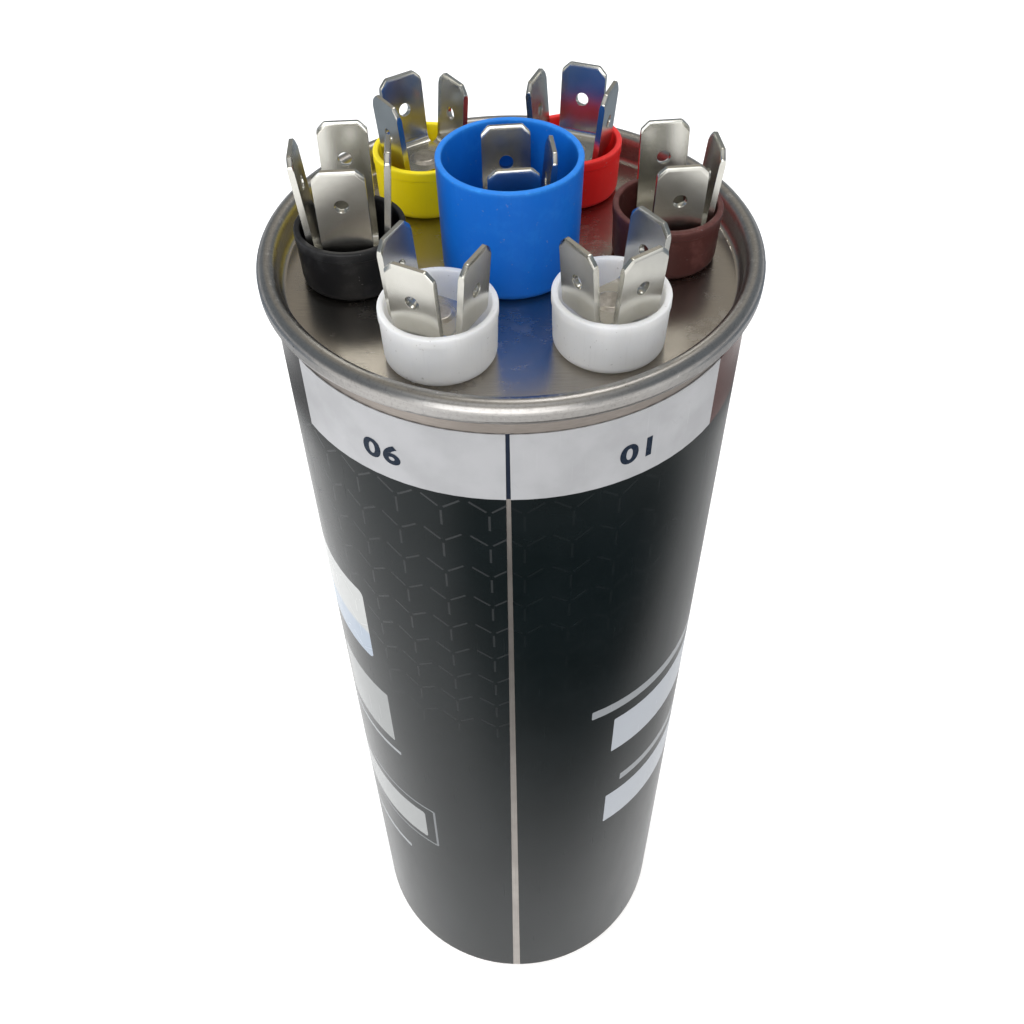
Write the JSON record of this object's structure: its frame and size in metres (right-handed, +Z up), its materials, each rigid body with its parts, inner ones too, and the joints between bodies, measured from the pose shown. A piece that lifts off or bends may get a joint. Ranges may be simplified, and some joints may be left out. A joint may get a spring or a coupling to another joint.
{
  "type": "motor run capacitor",
  "caption": "Tall round seamed can with push-on blade terminals in coloured insulating cups on its recessed cover, for starting and running electric motors.",
  "frame": {"origin": "centre of the can's flat bottom", "axes": "+Z up along the can's axis, from the bottom to the terminals; -Y is the side of the label's gap, close to it"},
  "size_m": [0.0668, 0.0668, 0.1924],
  "materials": {
    "can": "satin drawn aluminium",
    "cover": "satin plated steel with faint rolling lines and water marks",
    "label": "glossy printed wrap label, black with a white and coloured top band",
    "cup_blue": "moulded blue plastic",
    "cup_white": "moulded white plastic, slightly translucent",
    "cup_brown": "moulded brown plastic",
    "cup_red": "moulded red plastic",
    "cup_yellow": "moulded yellow plastic",
    "cup_black": "moulded black plastic",
    "terminal": "tin-plated stamped sheet, satin",
    "rivet": "tin-plated, satin"
  },
  "bodies": {
    "root": {"can": "can", "cover": "cover", "label": "label", "cup_blue": "cup_blue", "cup_white_left": "cup_white", "cup_white_right": "cup_white", "cup_brown": "cup_brown", "cup_red": "cup_red", "cup_yellow": "cup_yellow", "cup_black": "cup_black", "terminal_blue": "terminal", "terminal_white_left": "terminal", "terminal_white_right": "terminal", "terminal_brown": "terminal", "terminal_red": "terminal", "terminal_yellow": "terminal", "terminal_black": "terminal", "rivet_blue": "rivet", "rivet_white_left": "rivet", "rivet_white_right": "rivet", "rivet_brown": "rivet", "rivet_red": "rivet", "rivet_yellow": "rivet", "rivet_black": "rivet"}
  },
  "joints": []
}
